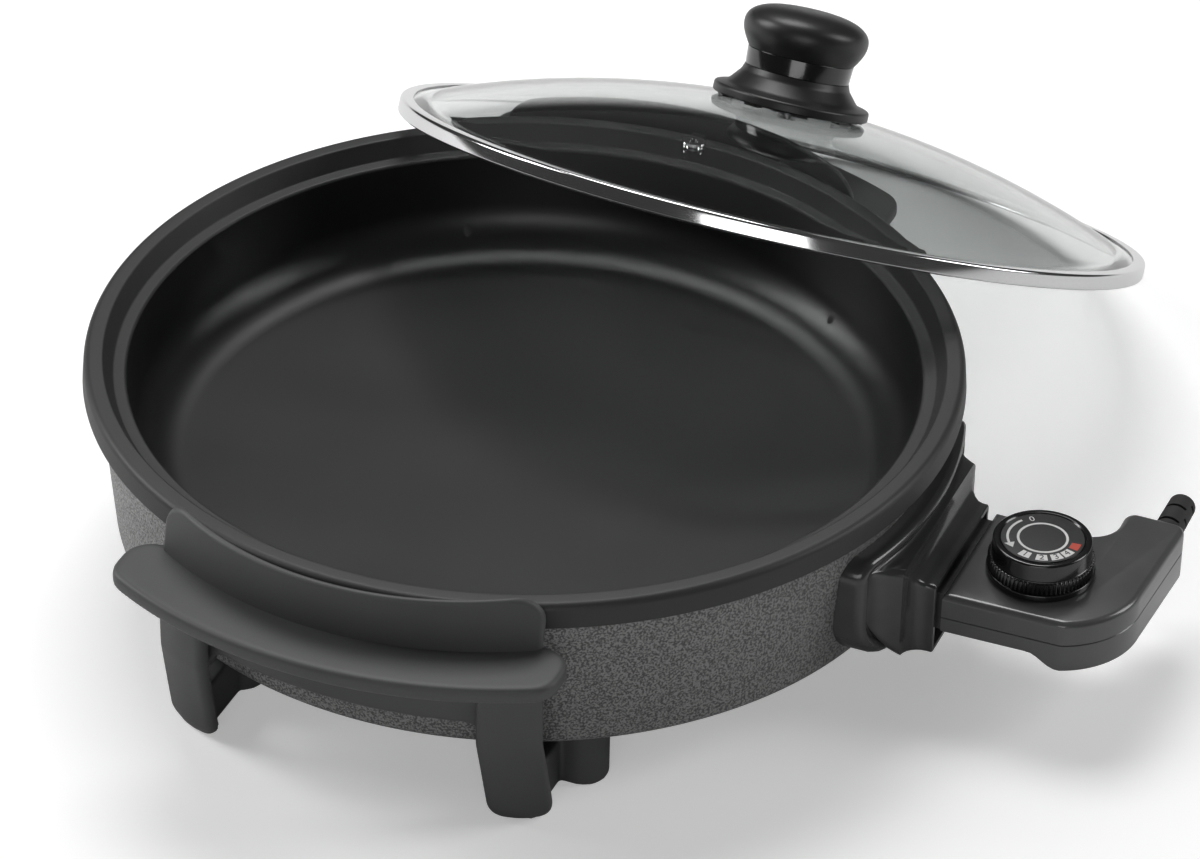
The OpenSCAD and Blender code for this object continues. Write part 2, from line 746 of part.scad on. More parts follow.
module knob_screw() {
  head_h = dome_h - glass_t - 5;
  color([0.75, 0.75, 0.76]) at_lid() difference() {
    union() {
      translate([0, 0, head_h]) cylinder(r = 5, h = 2.95);
      translate([0, 0, head_h]) cylinder(r = screw_r, h = 82 - head_h);
    }
    translate([-4, -0.6, head_h - 1]) cube([8, 1.2, 2]);
    translate([-0.6, -4, head_h - 1]) cube([1.2, 8, 2]);
  }
}

// The control plug

tail_x = 314.8;
tail_y = 64;
tail_in_x = 285;
relief_x = 304;
relief_z = 56;
relief_end_y = 93;

function plug_outline() = concat(
  [[plug_x, -plug_half]],
  arc([269.6, 3.2], 42.5, -67, 0, 15),
  arc([tail_x - 6, tail_y - 6], 6, 0, 90),
  arc([tail_in_x + 6, tail_y - 6], 6, 90, 180),
  arc([tail_in_x - 15, 52], 15, 0, -90, 9),
  [[plug_x, plug_half]]
);

// Screw posts inside the plug, near its four corners
shell_screw_at = [[244, -29], [244, 29], [292, -22], [297, 50]];
front_wall = 2;
shell_screw_z = 46;

// The space under the plug's shallow front part, with its step down to the deeper tail
module below_front(lift = 0) {
  translate([0, plug_half + 1, 0]) rotate([90, 0, 0]) linear_extrude(2 * plug_half + 2) polygon([
    [plug_x - 20, 20], [plug_x - 20, plug_front_z + lift], [270, plug_front_z + lift],
    [284, plug_low_z + lift], [284, 20]
  ]);
}

// Three slots with round ends in the near side, cut across the joint
module grip_slots() {
  low = 48.5;
  high = 58;
  w = 2.6;
  for (x = [265, 270.5, 276]) translate([x, 0.9 - plug_half, 0]) {
    for (z = [low, high]) translate([0, 0, z]) rotate([90, 0, 0]) cylinder(d = w, h = 3, $fn = 24);
    translate([-w / 2, -3, low]) cube([w, 3, high - low]);
  }
}

// Raised wedge on the plug's top that points to the dial
module pointer() {
  translate([0, 0, plug_top_z - 0.5]) linear_extrude(1.1) polygon([[296.2, 0.2], [303.6, -2.2], [304.6, 3.2]]);
}

module plug_upper_shell() {
  in_top = plug_top_z - plug_wall;
  color([0.08, 0.08, 0.09]) difference() {
    union() {
      difference() {
        soft_slab(plug_outline(), plug_split_z, plug_top_z, 0.01, 2.5, 4);
        translate([0, 0, plug_split_z - 1]) linear_extrude(in_top - plug_split_z + 1)
          polygon(inset(plug_outline(), plug_wall));
      }
      for (p = shell_screw_at) translate([p.x, p.y, plug_split_z]) cylinder(d = 7, h = in_top - plug_split_z + 1);
      translate([dial_x, 0, in_top - 4]) cylinder(d = 12, h = 5);
      pointer();
    }
    for (p = shell_screw_at) translate([p.x, p.y, 0]) cylinder(r = 1.5 + fit, h = in_top);
    translate([dial_x, 0, 0]) cylinder(r = 3 + fit, h = plug_top_z + 1);
    contact_block_space();
    translate([relief_x, tail_y - 10, relief_z]) rotate([-90, 0, 0]) cylinder(r = 5 + fit, h = 20);
    grip_slots();
  }
}

module plug_lower_shell() {
  in_low = plug_low_z + plug_wall;
  color([0.08, 0.08, 0.09]) difference() {
    union() {
      difference() {
        soft_slab(plug_outline(), plug_low_z, plug_split_z - fit, 2, 0.01, 4);
        difference() {
          translate([0, 0, in_low]) linear_extrude(plug_split_z) polygon(inset(plug_outline(), plug_wall));
          below_front(front_wall);
        }
      }
      for (p = shell_screw_at) translate([p.x, p.y, in_low - 1])
        cylinder(d = 7, h = plug_split_z - fit - in_low + 1);
    }
    below_front();
    for (p = shell_screw_at) translate([p.x, p.y, 0]) {
      cylinder(r = 1.8, h = plug_split_z + 1);
      cylinder(r = 3, h = shell_screw_z + 3);
    }
    contact_block_space();
    translate([relief_x, tail_y - 10, relief_z]) rotate([-90, 0, 0]) cylinder(r = 5 + fit, h = 20);
    grip_slots();
  }
}

block_x = 212;
block_half = 32.5;
block_low_z = 43;
block_top_z = 63.5;
block_rear_x = 238;
block_rear_z = plug_front_z + front_wall + fit;
tube_r = pin_d / 2 + 0.9;

// Where the contact block passes through the front of the two shells
module contact_block_space() {
  translate([plug_x - 1, -block_half + 4.9, block_rear_z - fit]) cube([12, 2 * block_half - 9.8, 13 + 2 * fit]);
}

module contact_block() {
  color([0.14, 0.13, 0.12]) difference() {
    union() {
      translate([block_x, -block_half, block_low_z]) cube([plug_x - block_x - 0.05, 2 * block_half, block_top_z - block_low_z]);
      translate([block_x, -block_half + 5, block_rear_z]) cube([block_rear_x - block_x, 2 * block_half - 10, 13]);
    }
    for (s = [-1, 1]) along_x(block_x - 1, s * pin_y) cylinder(r = tube_r + fit, h = 40);
    along_x(block_x - 1) cylinder(r = probe_d / 2 + fit, h = 40);
    // Slot for the earth spring
    translate([block_x - 1, -6, pin_z + 6.5]) cube([12, 12, 7]);
  }
}

module contact_tubes() {
  len = block_rear_x - block_x - 1;
  color([0.82, 0.72, 0.42]) for (s = [-1, 1]) difference() {
    along_x(block_x + 0.5, s * pin_y) cylinder(r = tube_r, h = len);
    along_x(block_x, s * pin_y) cylinder(r = pin_d / 2 + 0.08, h = pin_end_x - block_x + 3);
  }
}

probe_d = 5.5;

module temperature_probe() {
  tip = probe_d / 2;
  color([0.8, 0.8, 0.82]) union() {
    along_x(probe_x + tip) cylinder(d = probe_d, h = 246 - probe_x - tip);
    translate([probe_x + tip, 0, pin_z]) sphere(d = probe_d);
    along_x(block_rear_x + 0.5) cylinder(d = 8.4, h = 5);
  }
}

module thermostat_switch() {
  low = plug_front_z + front_wall + fit;
  color([0.75, 0.7, 0.6]) union() {
    translate([246.1, -14, low]) cube([28, 28, 7]);
    translate([250, -11, low + 6]) cube([22, 22, 3.4]);
    // Terminal tabs for the two conductors
    for (s = [-1, 1]) translate([274, s * 9 - 3, low + 4]) cube([9, 6, 0.8]);
  }
}

module shell_screws() {
  color([0.7, 0.7, 0.71]) for (p = shell_screw_at) translate([p.x, p.y, shell_screw_z]) union() {
    cylinder(r = 2.9, h = 2.95);
    cylinder(r = 1.5, h = 14.5);
  }
}

// Sleeve with slots cut into it from alternate sides, so that it can bend
module strain_relief() {
  start = tail_y - plug_wall;
  first_slot = 69.7;
  slot_pitch = 5.9;
  slot_w = 1.8;
  color([0.1, 0.1, 0.1]) translate([relief_x, 0, relief_z]) rotate([-90, 0, 0]) difference() {
    union() {
      // Grommet end held between the two shells
      translate([0, 0, start - 2.6]) cylinder(r = 6, h = 2.4);
      translate([0, 0, start - 1]) cylinder(r = 5, h = 5);
      translate([0, 0, tail_y + 0.3]) cylinder(d1 = relief_d, d2 = relief_d - 0.8, h = relief_end_y - tail_y - 0.3);
    }
    for (i = [0:3]) rotate([0, 0, i % 2 == 0 ? -130 : 50]) translate([0.7, -8, first_slot + i * slot_pitch])
      cube([8, 16, slot_w]);
    translate([0, 0, tail_y - 10]) cylinder(r = cord_hole_r, h = 40);
  }
}

// The dial

dial_low_z = plug_top_z + gap;
dial_foot_z = dial_low_z + 3.2;
dial_step_z = dial_foot_z + 6.5;

module dial() {
  rib_n = 72;
  ring_r = dial_ring_d / 2 - 0.5;
  color([0.06, 0.06, 0.07]) translate([dial_x, 0, 0]) difference() {
    union() {
      // Plain foot, ribbed ring and raised top
      translate([0, 0, dial_low_z]) cylinder(d = dial_ring_d, h = dial_foot_z - dial_low_z);
      difference() {
        translate([0, 0, dial_foot_z - 0.1]) cylinder(r = ring_r, h = dial_step_z - dial_foot_z + 0.1);
        for (i = [0:rib_n - 1]) rotate([0, 0, 360 * i / rib_n]) translate([ring_r + 0.1, 0, dial_foot_z])
          rotate([0, 0, 135]) cube([0.9, 0.9, 20]);
      }
      rotate_extrude() polygon(concat(
        [[0, dial_foot_z], [dial_top_d / 2 + 0.5, dial_foot_z], [dial_top_d / 2 + 0.5, dial_step_z]],
        arc([dial_top_d / 2 - 1.5, dial_top_z - 1.5], 1.5, 0, 90, 4),
        [[0, dial_top_z]]
      ));
    }
    // Shallow seat for the marked disc
    translate([0, 0, dial_top_z - 0.6]) cylinder(r = 19.6, h = 1);
    translate([0, 0, dial_low_z - 1]) cylinder(r = 3 + fit, h = 10);
  }
}

module dial_disc() {
  color([0.1, 0.1, 0.11]) translate([dial_x, 0, dial_top_z - 0.55]) cylinder(r = 19.5, h = 0.55);
}

module dial_spindle() {
  low = 57;
  color([0.7, 0.7, 0.71]) translate([dial_x, 0, low]) cylinder(r = 3, h = dial_low_z + 8 - low);
}

pan_bowl();
heating_element();
contact_pins();
pin_insulators();
probe_sleeve();
earth_spring();
socket_housing();
socket_screws();
front_handle();
rear_handle();
front_heat_guard();
rear_heat_guard();
handle_screws();
guard_screws();
lid_glass();
lid_band();
steam_vent();
knob_skirt();
knob_band();
knob_cap();
knob_gasket();
knob_washer();
knob_screw();
plug_upper_shell();
plug_lower_shell();
contact_block();
contact_tubes();
temperature_probe();
thermostat_switch();
shell_screws();
strain_relief();
dial();
dial_disc();
dial_spindle();
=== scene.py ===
import math

import bmesh
import bpy
from mathutils import Matrix, Vector


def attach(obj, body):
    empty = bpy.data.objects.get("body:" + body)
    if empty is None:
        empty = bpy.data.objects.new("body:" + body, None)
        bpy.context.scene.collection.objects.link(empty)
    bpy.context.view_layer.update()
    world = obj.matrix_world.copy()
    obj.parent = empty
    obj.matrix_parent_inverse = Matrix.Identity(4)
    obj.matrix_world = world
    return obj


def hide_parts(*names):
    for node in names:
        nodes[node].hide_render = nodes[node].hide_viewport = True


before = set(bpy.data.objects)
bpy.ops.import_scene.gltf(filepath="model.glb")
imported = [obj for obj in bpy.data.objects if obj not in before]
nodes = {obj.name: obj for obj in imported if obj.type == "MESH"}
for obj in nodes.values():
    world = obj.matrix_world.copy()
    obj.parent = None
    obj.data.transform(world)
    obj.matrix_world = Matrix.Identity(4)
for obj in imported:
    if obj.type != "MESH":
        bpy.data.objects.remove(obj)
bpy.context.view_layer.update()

# The photographer's table: one long-lens camera above the front handle's side of the pan, a white
# table that runs on as far as can be seen, and large soft lamps overhead, at both sides and in front.

scene = bpy.context.scene
scene.view_settings.view_transform = "Standard"

lens = bpy.data.cameras.new("camera")
lens.lens = 156.34
lens.sensor_width = 36
lens.clip_end = 30
camera = bpy.data.objects.new("camera", lens)
camera.location = (0.81963, -1.90772, 1.48859)
camera.rotation_euler = [math.radians(a) for a in (55.6967, -1.0186, 22.9401)]
scene.collection.objects.link(camera)
scene.camera = camera


def lamp(name, size, place, aim, power):
    light = bpy.data.lights.new(name, "AREA")
    light.shape = "RECTANGLE"
    light.size, light.size_y = size
    light.energy = power
    holder = bpy.data.objects.new(name, light)
    holder.location = place
    holder.rotation_euler = (Vector(aim) - Vector(place)).to_track_quat("-Z", "Y").to_euler()
    scene.collection.objects.link(holder)


lamp("overhead_softbox", (1.3, 1.0), (-0.5, 0.9, 2.1), (0, 0.05, 0), 30)
lamp("left_softbox", (0.9, 1.3), (-2.0, -0.3, 1.3), (0, 0, 0.1), 30)
lamp("right_softbox", (0.8, 1.2), (1.9, 0.9, 1.2), (0.1, 0, 0.1), 16)
lamp("front_softbox", (1.4, 0.7), (0.7, -2.2, 0.8), (0, 0, 0.1), 9)


class Value:
    """A shader socket that can be written in sums."""

    def __init__(self, coat, socket):
        self.coat, self.socket = coat, socket

    def sum(self, operation, a, b):
        return self.coat.node("Math", {"operation": operation}, {0: a, 1: b})

    def __add__(self, other):
        return self.sum("ADD", self, other)

    def __radd__(self, other):
        return self.sum("ADD", other, self)

    def __sub__(self, other):
        return self.sum("SUBTRACT", self, other)

    def __rsub__(self, other):
        return self.sum("SUBTRACT", other, self)

    def __mul__(self, other):
        return self.sum("MULTIPLY", self, other)

    def __rmul__(self, other):
        return self.sum("MULTIPLY", other, self)


class Coat:
    """A finish: one material, its nodes, and the shader that they feed."""

    def __init__(self, name, **even):
        self.material = bpy.data.materials.new(name)
        self.material.use_nodes = True
        self.tree = self.material.node_tree
        self.shader = self.tree.nodes["Principled BSDF"]
        self.place = self.node("TexCoord", out="Object")
        for socket, value in even.items():
            self.set(socket.replace("_", " ").title().replace("Ior", "IOR"), value)

    def node(self, kind, settings=(), sockets=(), out=0):
        made = self.tree.nodes.new("ShaderNode" + kind)
        for key, value in dict(settings).items():
            if key == "stops":
                ramp = made.color_ramp
                while len(ramp.elements) < len(value):
                    ramp.elements.new(0.5)
                for element, (at, shade) in zip(ramp.elements, value):
                    element.position = at
                    element.color = (shade, shade, shade, 1)
            else:
                setattr(made, key, value)
        for key, value in dict(sockets).items():
            self.join(made.inputs[key], value)
        return Value(self, made.outputs[out])

    def join(self, socket, value):
        if isinstance(value, Value):
            self.tree.links.new(value.socket, socket)
        else:
            socket.default_value = value

    def set(self, socket, value):
        if not isinstance(value, Value) and socket.endswith("Color"):
            value = (*value, 1)
        self.join(self.shader.inputs[socket], value)

    def noise(self, grain, detail, rough):
        return self.node(
            "TexNoise", {}, {"Vector": self.place, "Scale": grain, "Detail": detail, "Roughness": rough}
        )

    def ramp(self, value, *stops):
        return self.node("ValToRGB", {"stops": stops}, {"Fac": value})

    def mix(self, share, one, other):
        one, other = [(*c, 1) if isinstance(c, tuple) and len(c) == 3 else c for c in (one, other)]
        return self.node(
            "Mix", {"data_type": "RGBA"}, {"Factor": share, 6: one, 7: other}, out=2
        )

    def bump(self, height, depth_mm, strength):
        relief = {"Height": height, "Distance": depth_mm / 1000, "Strength": strength}
        self.set("Normal", self.node("Bump", {}, relief))


# The table carries the object's shadow. It, the air behind it and all that metal and glass mirror are
# white, while the light that falls on the object stays at a plain level.
table = Coat("white_table", base_color=(0.86, 0.86, 0.86), roughness=0.9)
seen = table.node("LightPath", out="Is Camera Ray")
table.set("Emission Color", table.mix(seen, (0, 0, 0), (0.34, 0.34, 0.34)))
table.set("Emission Strength", 1)

bpy.ops.mesh.primitive_plane_add(size=60)
floor = bpy.context.object
floor.name = "table"
floor.data.materials.append(table.material)

air = bpy.data.worlds.new("air")
air.use_nodes = True
scene.world = air
backdrop = air.node_tree.nodes["Background"]
path = air.node_tree.nodes.new("ShaderNodeLightPath")
soft = 0.5
share = path.outputs["Is Camera Ray"]
for kind in ("Is Glossy Ray", "Is Transmission Ray"):
    either = air.node_tree.nodes.new("ShaderNodeMath")
    either.operation = "MAXIMUM"
    air.node_tree.links.new(share, either.inputs[0])
    air.node_tree.links.new(path.outputs[kind], either.inputs[1])
    share = either.outputs[0]
level = air.node_tree.nodes.new("ShaderNodeMath")
level.operation = "MULTIPLY_ADD"
level.inputs[1].default_value = 1 - soft
level.inputs[2].default_value = soft
air.node_tree.links.new(share, level.inputs[0])
air.node_tree.links.new(level.outputs[0], backdrop.inputs["Strength"])


# The pan is one aluminium casting, finished by turning: a flat cooking floor, a curved wall, a ledge
# for the lid, a rolled rim, and a skirt that hides the heating ring. A grey hammertone lacquer covers
# the outside, and a dark satin non-stick coating the inside and the rim.


def rounded(corners, closed=False, step=9):
    """Points along a run of corners, each (x, y) or (x, y, radius of its rounding)."""
    points, count = [], len(corners)
    for i, corner in enumerate(corners):
        here = Vector(corner[:2])
        if len(corner) < 3 or not (closed or 0 < i < count - 1):
            points.append((here.x, here.y))
            continue
        back = (Vector(corners[i - 1][:2]) - here).normalized()
        on = (Vector(corners[(i + 1) % count][:2]) - here).normalized()
        half = back.angle(on) / 2
        centre = here + (back + on).normalized() * corner[2] / math.sin(half)
        start = here + back * corner[2] / math.tan(half) - centre
        turn = math.pi - 2 * half
        if back.x * on.y - back.y * on.x > 0:
            turn = -turn
        parts = max(2, math.ceil(abs(math.degrees(turn)) / step))
        for k in range(parts + 1):
            a = turn * k / parts
            points.append((
                centre.x + start.x * math.cos(a) - start.y * math.sin(a),
                centre.y + start.x * math.sin(a) + start.y * math.cos(a),
            ))
    return points


def turned(profile, around=240, sweep=None, at=(0, 0)):
    """A profile of (radius, height) points turned about the upright axis."""
    verts, faces, rows = [], [], []
    first, last = sweep or (0, 360)
    ends = around + 1 if sweep else around
    for r, z in profile:
        if r < 1e-6:
            rows.append([len(verts)] * ends)
            verts.append((at[0], at[1], z))
            continue
        rows.append(range(len(verts), len(verts) + ends))
        for i in range(ends):
            a = math.radians(first + (last - first) * i / around)
            verts.append((at[0] + r * math.cos(a), at[1] + r * math.sin(a), z))
    if profile[0][0] > 1e-6:
        rows.append(rows[0])
    for low, high in zip(rows, rows[1:]):
        for i in range(around):
            j = (i + 1) % ends
            quad = [low[i], low[j], high[j], high[i]]
            faces.append([v for k, v in enumerate(quad) if v not in quad[:k]])
    if sweep:
        loop = rows[:-1] if profile[0][0] > 1e-6 else rows
        faces += [[row[0] for row in loop], [row[-1] for row in reversed(loop)]]
    return verts, faces


def make(name, shells, body, coats, stands_for=(), sharp=38, sort=None, place=None):
    """One piece from shells of points in millimetres, riding on a body."""
    mesh = bpy.data.meshes.new(name)
    work = bmesh.new()
    for verts, faces in shells:
        made = [work.verts.new(Vector(v) / 1000) for v in verts]
        for face in faces:
            work.faces.new([made[i] for i in face]).smooth = True
    bmesh.ops.recalc_face_normals(work, faces=work.faces)
    if sort:
        for face in work.faces:
            face.material_index = sort(*(face.calc_center_median() * 1000))
    work.to_mesh(mesh)
    work.free()
    if place:
        mesh.transform(place)
    mesh.set_sharp_from_angle(angle=math.radians(sharp))
    for coat in coats:
        mesh.materials.append(coat.material)
    piece = bpy.data.objects.new(name, mesh)
    scene.collection.objects.link(piece)
    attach(piece, body)
    if stands_for:
        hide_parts(*stands_for)
    return piece


hammertone = Coat("grey_hammertone")
drift = hammertone.noise(190, 2, 0.5)
cells = hammertone.noise(950, 1.5, 0.5)
veins = hammertone.ramp(cells, (0.40, 0.0), (0.60, 1.0))
hammertone.set("Base Color", hammertone.mix(veins, (0.070, 0.070, 0.070), (0.28, 0.28, 0.276)))
hammertone.set("Metallic", veins * 0.3)
hammertone.set("Roughness", 0.46 - veins * 0.12 + drift * 0.05)
hammertone.bump(veins, 0.18, 0.6)

nonstick = Coat("nonstick_coating")
grain = nonstick.noise(2600, 2, 0.6)
wear = nonstick.noise(14, 3, 0.55)
nonstick.set("Base Color", nonstick.mix(wear, (0.006, 0.006, 0.0063), (0.010, 0.010, 0.0103)))
nonstick.set("Roughness", 0.30 + grain * 0.10 + wear * 0.06)
swell = nonstick.noise(7.5, 1, 0.4)
nonstick.bump(swell * 60 + grain, 0.05, 0.5)

rim_coat = Coat("rim_coating")
rim_grain = rim_coat.noise(2100, 3, 0.65)
rim_coat.set("Base Color", rim_coat.mix(rim_grain, (0.012, 0.012, 0.012), (0.034, 0.034, 0.034)))
rim_coat.set("Roughness", 0.42 + rim_grain * 0.16)
rim_coat.bump(rim_grain, 0.12, 0.6)

casting = Coat("bare_casting", metallic=0.9)
sand = casting.noise(900, 3, 0.6)
casting.set("Base Color", casting.mix(sand, (0.34, 0.34, 0.35), (0.52, 0.52, 0.53)))
casting.set("Roughness", 0.4 + sand * 0.2)
casting.bump(sand, 0.1, 0.5)

wall_foot_z, wall_lean = 31.5, 0.0816
bowl_flat_r, bowl_curve_r, bowl_curve_z = 162, 27, 85
post_x, post_y = 95.5, 148.5

pan_profile = rounded([
    (0, 56), (191, 56, 29), (191.8, 97, 0.8), (198.5, 97, 2), (193.6, 35.5, 2), (189.75, 35.5, 0.5),
    (189.75, 31.5, 0.8), (197.2, 31.5, 6), (203.4, 107.3, 3), (211, 107.6, 1.0), (210, 120, 3.6), (201.0, 120, 1.3),
    (196.5, 111, 1.3), (190.1, 111, 1.6), (187, 60, 25), (0, 60),
], step=6)


def pan_surface(x, y, z):
    r = math.hypot(x, y)
    if z > 107.2 and r > 189.6 or r > 200.9 and z > 105.5:
        return 1
    if r < 190.5 and z > 59.9 and z > bowl_curve_z - math.sqrt(
            max(0, bowl_curve_r ** 2 - max(0, r - bowl_flat_r) ** 2)):
        return 0
    if z < 37.5:
        return 2 if math.hypot(r - 191.7, z - 37.5) > 4 else 3
    return 2 if r > 195.2 + (z - wall_foot_z) * wall_lean else 3


def up_to_wall(shell):
    """Carries a boss up into the curved wall above it."""
    def lifted(x, y):
        past = max(0, math.hypot(x, y) - bowl_flat_r)
        return bowl_curve_z - math.sqrt(bowl_curve_r ** 2 - past ** 2)

    verts, faces = shell
    return [(x, y, z if z < 59 else lifted(x, y)) for x, y, z in verts], faces


rib = [(123.7, 51.5), (126.2, 51.5)]
rib += [(130 - 3.8 * math.cos(math.radians(a)), 51.5 + 3.8 * math.sin(math.radians(a))) for a in range(15, 166, 15)]
rib += [(133.8, 51.5), (136.3, 51.5), (136.3, 57), (123.7, 57)]
boss = rounded([(2.6, 60), (2.6, 42), (11, 42, 0.8), (11, 60)])
make(
    "cast_pan",
    [turned(pan_profile, 360), turned(rib, 150, sweep=(19, 341))]
    + [up_to_wall(turned(boss, 40, at=(sx * post_x, sy * post_y))) for sx in (-1, 1) for sy in (-1, 1)]
    + [up_to_wall(turned(rounded([(2.1, 60), (2.1, 49), (4.5, 49, 0.5), (4.5, 60)]), 24, at=(181, y)))
       for y in (-25, 25)],
    "base", [nonstick, rim_coat, hammertone, casting], ["pan_bowl"], sort=pan_surface,
)


# The heating ring is one sheathed tube pressed into a rib under the floor. Its ends carry the two
# contact pins, in ceramic collars, and between them a closed brass sleeve takes the plug's probe.


def finish(coat, *names):
    for name in names:
        for place in nodes[name].material_slots:
            place.material = coat.material


sheath = Coat("oxidised_sheath", metallic=0.8)
scale_marks = sheath.noise(260, 3, 0.6)
sheath.set("Base Color", sheath.mix(scale_marks, (0.06, 0.055, 0.05), (0.22, 0.20, 0.18)))
sheath.set("Roughness", 0.42 + scale_marks * 0.25)
sheath.bump(scale_marks, 0.06, 0.5)
finish(sheath, "heating_element")

nickel = Coat("nickel_plate", metallic=1.0)
draw_lines = nickel.noise(700, 2, 0.5)
nickel.set("Base Color", nickel.mix(draw_lines, (0.62, 0.60, 0.57), (0.74, 0.72, 0.69)))
nickel.set("Roughness", 0.18 + draw_lines * 0.1)
finish(nickel, "contact_pins")

ceramic = Coat("pale_ceramic", coat_weight=0.2)
specks = ceramic.noise(1500, 2, 0.6)
ceramic.set("Base Color", ceramic.mix(specks, (0.60, 0.56, 0.48), (0.74, 0.70, 0.61)))
ceramic.set("Roughness", 0.35 + specks * 0.2)
ceramic.bump(specks, 0.04, 0.4)
finish(ceramic, "pin_insulators", "thermostat_switch")

brass = Coat("plain_brass", metallic=1.0)
tarnish = brass.noise(120, 3, 0.6)
brass.set("Base Color", brass.mix(tarnish, (0.42, 0.27, 0.09), (0.68, 0.50, 0.22)))
brass.set("Roughness", 0.24 + tarnish * 0.2)
finish(brass, "probe_sleeve", "earth_spring", "contact_tubes")


# The socket is a black phenolic moulding screwed behind the skirt. Its flange lies on the pan's wall
# with a rounded ridge down each end, and flares softly into the square collar that takes the plug.


def lofted(rings, closed=False):
    """A skin through rings of equal point counts, with its two ends closed."""
    count = len(rings[0])
    verts = [p for ring in rings for p in ring]
    faces = []
    for k in range(len(rings) - (0 if closed else 1)):
        a, b = k * count, (k + 1) % len(rings) * count
        for i in range(count):
            j = (i + 1) % count
            faces.append([a + i, a + j, b + j, b + i])
    if not closed:
        faces += [list(range(count))[::-1], list(range(len(verts) - count, len(verts)))]
    return verts, faces


phenolic = Coat("black_phenolic", coat_weight=0.15)
flow = phenolic.noise(60, 4, 0.6)
pores = phenolic.noise(3000, 2, 0.5)
phenolic.set("Base Color", phenolic.mix(flow, (0.034, 0.034, 0.035), (0.052, 0.052, 0.053)))
phenolic.set("Roughness", 0.15 + flow * 0.06 + pores * 0.03)
phenolic.bump(pores, 0.02, 0.3)


def around_pan(y, r):
    return math.sqrt(r * r - y * y)


def blend_ring(ring, r, x, share):
    """Lays (y, z) points between a cylinder of radius r and an upright plane at x."""
    return [((1 - share) * around_pan(y, r) + share * x, y, z) for y, z in ring]


def between(one, other, t):
    return [(a[0] + (b[0] - a[0]) * t, a[1] + (b[1] - a[1]) * t) for a, b in zip(one, other)]


def full_ring(half, low, high, r, across=24, up=12, corner=8):
    """A rounded rectangle of (y, z) points whose straight runs are divided too."""
    r_low, r_high = (r, r) if isinstance(r, (int, float)) else r
    runs = []

    def run(a, b, parts):
        for k in range(parts):
            runs.append((a[0] + (b[0] - a[0]) * k / parts, a[1] + (b[1] - a[1]) * k / parts))

    def bend(y, z, start, radius):
        for k in range(corner):
            a = math.radians(start + 90 * k / corner)
            runs.append((y + radius * math.cos(a), z + radius * math.sin(a)))

    run((-half + r_low, low), (half - r_low, low), across)
    bend(half - r_low, low + r_low, -90, r_low)
    run((half, low + r_low), (half, high - r_high), up)
    bend(half - r_high, high - r_high, 0, r_high)
    run((half - r_high, high), (-half + r_high, high), across)
    bend(-half + r_high, high - r_high, 90, r_high)
    run((-half, high - r_high), (-half, low + r_low), up)
    bend(-half + r_low, low + r_low, 180, r_low)
    return runs


flange = full_ring(71, 34.5, 94, (28, 10))
collar = full_ring(37.5, 31, 69.5, (2.2, 2.2))
rings = [[(around_pan(y, 197.35 + (z - wall_foot_z) * wall_lean), y, z) for y, z in flange]]
for inset, r in ((0, 208.5), (0.7, 210.8), (2.2, 211.9), (4.2, 211.9), (5.8, 210.8), (7.0, 209.4), (9.5, 208.6)):
    ring = full_ring(71 - inset, 34.5 + inset, 94 - inset, (28 - inset, max(2, 10 - inset)))
    rings.append(blend_ring(ring, r, 0, 0))
inner = full_ring(61.5, 44, 84.5, (18.5, 2))
flare = full_ring(50, 33, 82.5, (5, 4))
for t, share, x in ((0.3, 0.10, 209.0), (0.55, 0.3, 209.3), (0.75, 0.55, 210.0), (0.9, 0.8, 211.5)):
    rings.append(blend_ring(between(inner, flare, t), 208.6, x, share))
for a in range(0, 91, 15):
    s, c = math.sin(math.radians(a)), math.cos(math.radians(a))
    rings.append([(212.5 + 9 * (1 - c), y, z) for y, z in between(flare, collar, s)])
rings += [[(x, y, z) for y, z in full_ring(37.5 - d, 31 + d, 69.5 - d, max(0.4, 2.2 - d))]
          for x, d in ((223.9, 0), (224.5, 0.6), (224.5, 2.6), (223.9, 3.0), (209, 3.0))]
terminal = full_ring(30.5, 37.5, 55.4, 1.0, 4, 3, 3)
make(
    "socket_moulding",
    [lofted(rings), lofted([[(x, y, z) for y, z in terminal] for x in (176, 203)])],
    "base", [phenolic], ["socket_housing"], sharp=40,
)

zinc = Coat("zinc_plate", metallic=1.0)
swirl = zinc.noise(420, 2, 0.5)
zinc.set("Base Color", zinc.mix(swirl, (0.50, 0.50, 0.51), (0.68, 0.68, 0.69)))
zinc.set("Roughness", 0.3 + swirl * 0.18)
finish(zinc, "socket_screws")


# Each handle is one matt dark grey phenolic moulding: a shelf round the pan, an apron against its wall
# and two crowned legs, joined by bars to the posts that the pan's four bosses stand on.

handle_coat = Coat("matt_grey_phenolic")
speck = handle_coat.noise(1700, 3, 0.6)
cloud = handle_coat.noise(26, 3, 0.55)
handle_coat.set("Base Color", handle_coat.mix(cloud, (0.056, 0.057, 0.057), (0.073, 0.074, 0.074)))
handle_coat.set("Roughness", 0.46 + speck * 0.14)
handle_coat.bump(speck, 0.05, 0.5)


def inset(outline, d):
    """A closed outline moved inwards by d along its own normals."""
    moved, count = [], len(outline)
    for i, p in enumerate(outline):
        before, after = Vector(outline[i - 1]), Vector(outline[(i + 1) % count])
        here = Vector(p)
        one, other = (here - before).normalized(), (after - here).normalized()
        a, b = Vector((-one.y, one.x)), Vector((-other.y, other.x))
        moved.append(tuple(here + d * (a + b) / (1 + a.dot(b))))
    return moved


